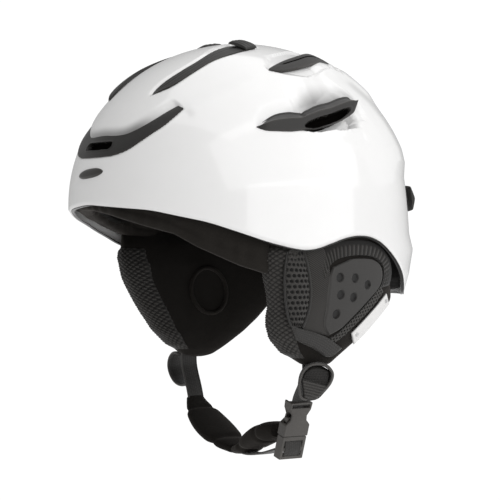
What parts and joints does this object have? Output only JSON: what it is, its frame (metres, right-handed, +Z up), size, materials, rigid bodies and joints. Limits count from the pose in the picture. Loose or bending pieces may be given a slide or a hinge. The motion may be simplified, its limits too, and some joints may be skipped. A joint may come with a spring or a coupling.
{
  "type": "ski helmet",
  "caption": "White hard-shell ski helmet with foam liner, padded ear flaps, sliding crown vents, rear goggle clip and buckled chin strap with a chin pad.",
  "frame": {"origin": "on the symmetry plane at the middle of the shell's length, at the height of the brow rim: the place of the wearer's head", "axes": "+Z up towards the crown, -Y towards the face, +X towards the wearer's left ear"},
  "size_m": [0.217, 0.2836, 0.3188],
  "materials": {
    "shell_white": "gloss",
    "foam_black": "matt, beaded",
    "black_plastic": "satin",
    "badge": "satin",
    "mesh": "spacer mesh",
    "velour": "brushed",
    "knit": "ribbed knit",
    "webbing": "ribbed webbing",
    "plate_white": "satin",
    "steel": "brushed"
  },
  "bodies": {
    "helmet": {"outer_shell": "shell_white", "foam_liner": "foam_black", "rim_edge": "black_plastic", "front_vent_frame": "black_plastic", "front_vent_mesh": "mesh", "crown_vent_left": "black_plastic", "crown_vent_right": "black_plastic", "side_vent_left": "black_plastic", "side_vent_right": "black_plastic", "rear_vent_left": "black_plastic", "rear_vent_right": "black_plastic", "front_badge": "badge", "brow_pad": "velour", "crown_pad": "mesh", "side_pad_left": "velour", "side_pad_right": "velour", "dial_housing": "black_plastic", "clip_base": "black_plastic", "clip_pin": "steel"},
    "slider_left": {"vent_slider_left": "black_plastic"},
    "slider_right": {"vent_slider_right": "black_plastic"},
    "cradle": {"fit_cradle": "black_plastic", "nape_pad": "velour"},
    "dial": {"fit_dial": "black_plastic"},
    "goggle_clip": {"clip_lever": "black_plastic"},
    "left_pad": {"ear_cushion_left": "velour", "ear_cover_left": "black_plastic", "ear_mesh_left": "mesh", "strap_sleeve_left": "knit", "ear_plate_left": "plate_white", "plate_rivets_left": "steel", "ear_ring_left": "mesh", "ear_tab_left": "black_plastic"},
    "right_pad": {"ear_cushion_right": "velour", "ear_cover_right": "black_plastic", "ear_mesh_right": "mesh", "strap_sleeve_right": "knit", "ear_plate_right": "plate_white", "plate_rivets_right": "steel", "ear_ring_right": "mesh", "ear_tab_right": "black_plastic"},
    "left_strap": {"strap_left": "webbing", "strap_tail_left": "webbing", "buckle_housing": "black_plastic", "buckle_frame": "black_plastic"},
    "right_strap": {"strap_right": "webbing", "strap_tail_right": "webbing", "chin_pad": "velour", "chin_tab": "velour", "web_tail_low": "webbing"},
    "prong_front": {"buckle_prong_front": "black_plastic"},
    "prong_rear": {"buckle_prong_rear": "black_plastic"}
  },
  "joints": [
    {"name": "left_pad_flare", "type": "hinge", "parent": "helmet", "child": "left_pad", "pos_m": [0.092, 0.016, -0.041], "axis": [0.138, -0.942, 0.306], "range_deg": [0, 16], "stiffness_Nm_per_rad": 0.6},
    {"name": "right_pad_flare", "type": "hinge", "parent": "helmet", "child": "right_pad", "pos_m": [-0.092, 0.016, -0.041], "axis": [0.138, 0.942, -0.306], "range_deg": [0, 16], "stiffness_Nm_per_rad": 0.6},
    {"name": "left_strap_swing", "type": "hinge", "parent": "left_pad", "child": "left_strap", "pos_m": [0.079, 0.003, -0.11], "axis": [1, 0, 0], "range_deg": [-15, 15]},
    {"name": "right_strap_swing", "type": "hinge", "parent": "right_pad", "child": "right_strap", "pos_m": [-0.079, 0.003, -0.11], "axis": [1, 0, 0], "range_deg": [-15, 15]},
    {"name": "front_prong_squeeze", "type": "hinge", "parent": "left_strap", "child": "prong_front", "pos_m": [0.05738, -0.0034, -0.16951], "axis": [0.9511, 0, -0.309], "range_deg": [-4, 0], "stiffness_Nm_per_rad": 0.2},
    {"name": "rear_prong_squeeze", "type": "hinge", "parent": "left_strap", "child": "prong_rear", "pos_m": [0.05738, 0.0094, -0.16951], "axis": [0.9511, 0, -0.309], "range_deg": [0, 4], "stiffness_Nm_per_rad": 0.2},
    {"name": "left_shutter_slide", "type": "slide", "parent": "helmet", "child": "slider_left", "axis": [-0.0145, -0.9945, -0.1035], "range_m": [0, 0.008]},
    {"name": "right_shutter_slide", "type": "slide", "parent": "helmet", "child": "slider_right", "axis": [0.0145, -0.9945, -0.1035], "range_m": [0, 0.008]},
    {"name": "dial_turn", "type": "hinge", "parent": "helmet", "child": "dial", "pos_m": [0, 0.1092, -0.044], "axis": [0, 1, 0], "range_deg": [0, 180]},
    {"name": "cradle_slide", "type": "slide", "parent": "helmet", "child": "cradle", "axis": [0, -1, 0], "range_m": [0, 0.008]},
    {"name": "goggle_clip_hinge", "type": "hinge", "parent": "helmet", "child": "goggle_clip", "pos_m": [0, 0.1406, 0.0215], "axis": [1, 0, 0], "range_deg": [0, 60], "stiffness_Nm_per_rad": 0.01}
  ],
  "couplings": [
    {"joint": "cradle_slide", "follows": "dial_turn", "m_per_rad": 0.002546}
  ]
}
